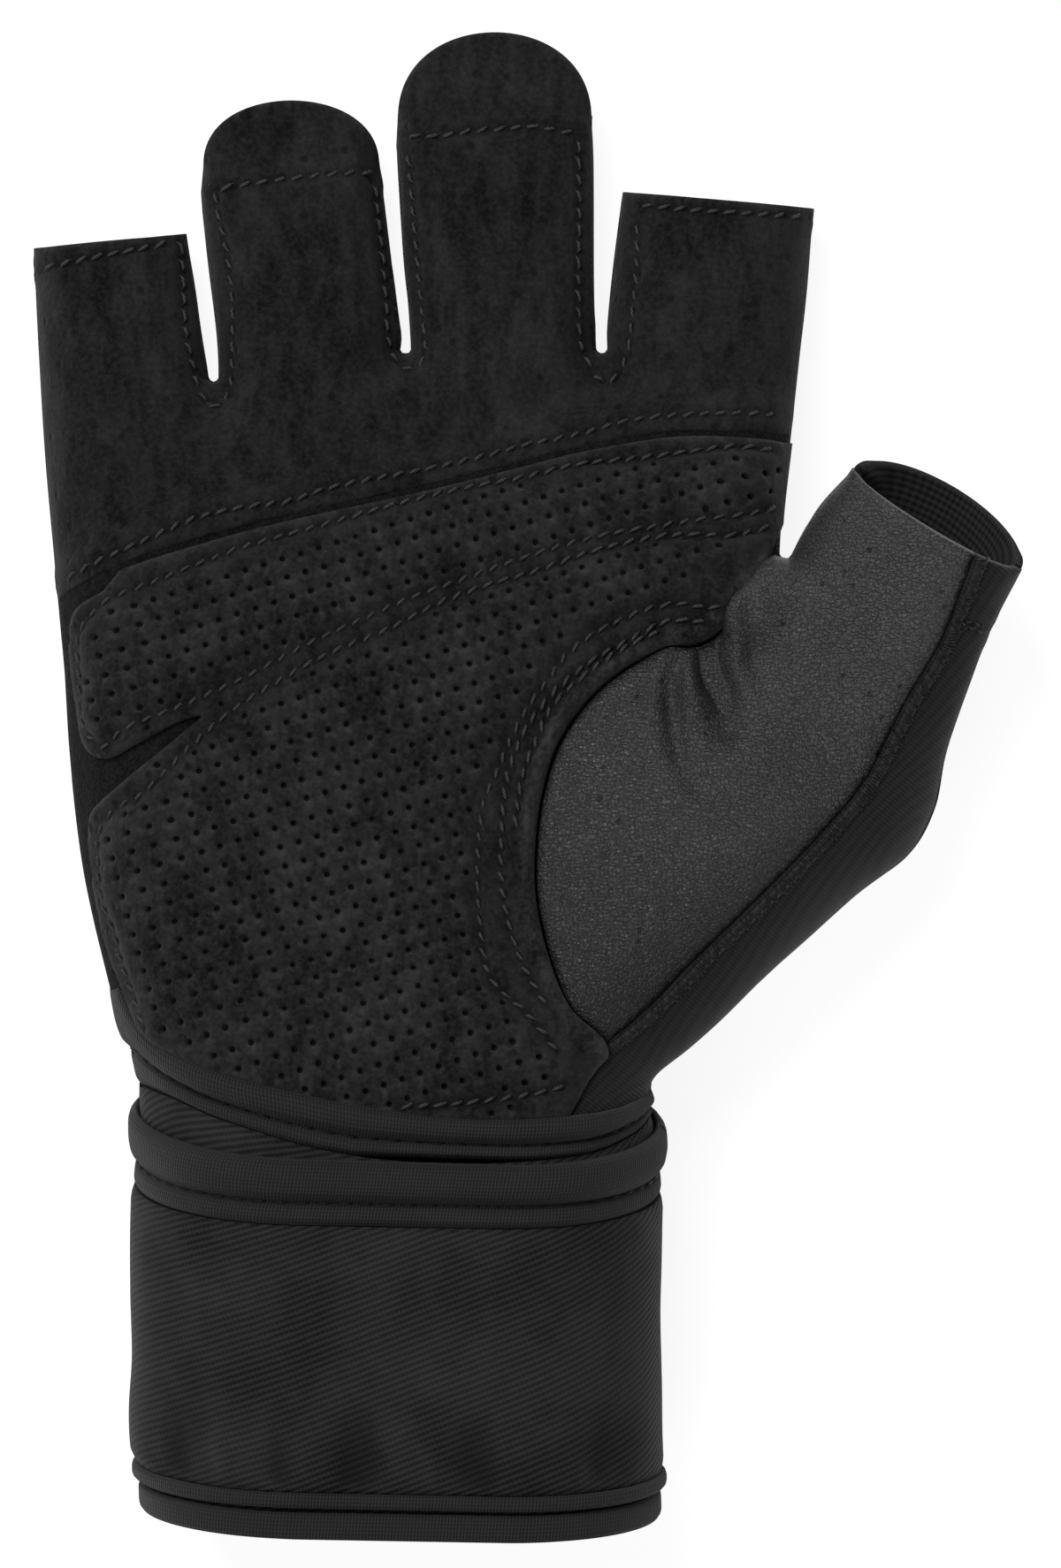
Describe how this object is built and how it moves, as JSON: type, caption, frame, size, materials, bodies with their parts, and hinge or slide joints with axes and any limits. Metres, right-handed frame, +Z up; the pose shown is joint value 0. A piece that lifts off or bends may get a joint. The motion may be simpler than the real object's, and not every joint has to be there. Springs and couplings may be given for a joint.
{
  "type": "half-finger weightlifting glove",
  "caption": "Padded half-finger glove in suede, leather and knit with pull tabs, an open thumb and a fastened wrist wrap, lying palm up.",
  "frame": {"origin": "middle of the glove's plan box, on the surface that its back lies on", "axes": "+X to the thumb's side, +Y along the fingers, +Z up out of the palm"},
  "size_m": [0.1278, 0.195, 0.0437],
  "materials": {
    "suede": "black pigskin suede, matt, with a fine nap and pores",
    "perforated_suede": "black padded suede with small punched holes",
    "base_cloth": "black coarse knitted base cloth",
    "leather": "black smooth grained leather, half matt",
    "rib_knit": "black fine rib stretch knit",
    "twill": "black cotton twill",
    "binding_knit": "black knitted binding tape",
    "patch": "black hook and loop pile"
  },
  "bodies": {
    "root": {"palm_suede": "suede", "palm_base": "base_cloth", "palm_pads": "perforated_suede", "thumb_leather": "leather", "thumb_gusset": "rib_knit", "back_cloth": "rib_knit", "wrist_cuff": "twill", "cuff_binding_top": "binding_knit", "cuff_binding_bottom": "binding_knit", "wrist_wrap": "twill", "wrap_binding_top": "binding_knit", "wrap_binding_bottom": "binding_knit", "wrap_patch": "patch"}
  },
  "joints": []
}
